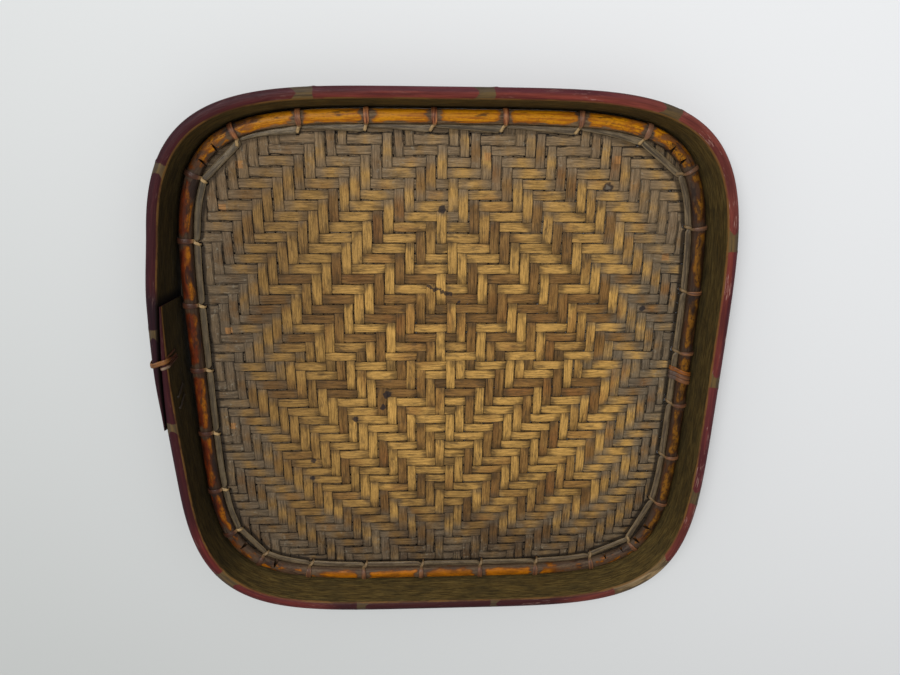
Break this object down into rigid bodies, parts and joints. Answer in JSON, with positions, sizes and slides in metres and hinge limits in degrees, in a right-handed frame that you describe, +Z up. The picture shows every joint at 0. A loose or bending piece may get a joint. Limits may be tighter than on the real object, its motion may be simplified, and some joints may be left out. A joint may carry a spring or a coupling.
{
  "type": "rice basket",
  "caption": "Shallow square rice tray with rounded corners: herringbone-woven bamboo mat laced with cane between rings inside a bent, lacquered bamboo hoop.",
  "frame": {"origin": "on the ground under the middle of the tray's box, tray lying flat with its open side up", "axes": "+Z up out of the open side, +X to the right and +Y to the top of the tray as the picture shows it"},
  "size_m": [0.4667, 0.46, 0.0398],
  "materials": {
    "lacquered_bamboo": "red-maroon lacquer on the top edge, worn brown bamboo on the faces",
    "golden_bamboo": "glossy golden orange skin with scorched patches",
    "bare_bamboo": "matt split bamboo",
    "woven_bamboo": "aged golden tan, greyer to the edges, satin",
    "cane": "reddish brown split cane, satin skin"
  },
  "bodies": {
    "root": {"hoop": "lacquered_bamboo", "inner_ring": "golden_bamboo", "under_ring": "bare_bamboo", "woven_mat": "woven_bamboo", "ring_joint_wrap": "cane", "rim_tie": "cane", "wall_tie_1": "cane", "wall_tie_2": "cane", "cane_stitch_01": "cane", "cane_stitch_02": "cane", "cane_stitch_03": "cane", "cane_stitch_04": "cane", "cane_stitch_05": "cane", "cane_stitch_06": "cane", "cane_stitch_07": "cane", "cane_stitch_08": "cane", "cane_stitch_09": "cane", "cane_stitch_10": "cane", "cane_stitch_11": "cane", "cane_stitch_12": "cane", "cane_stitch_13": "cane", "cane_stitch_14": "cane", "cane_stitch_15": "cane", "cane_stitch_16": "cane", "cane_stitch_17": "cane", "cane_stitch_18": "cane", "cane_stitch_19": "cane", "cane_stitch_20": "cane", "cane_stitch_21": "cane", "cane_stitch_22": "cane", "cane_stitch_23": "cane", "cane_stitch_24": "cane", "cane_stitch_25": "cane", "cane_stitch_26": "cane", "cane_stitch_27": "cane", "cane_stitch_28": "cane", "cane_stitch_29": "cane"}
  },
  "joints": []
}
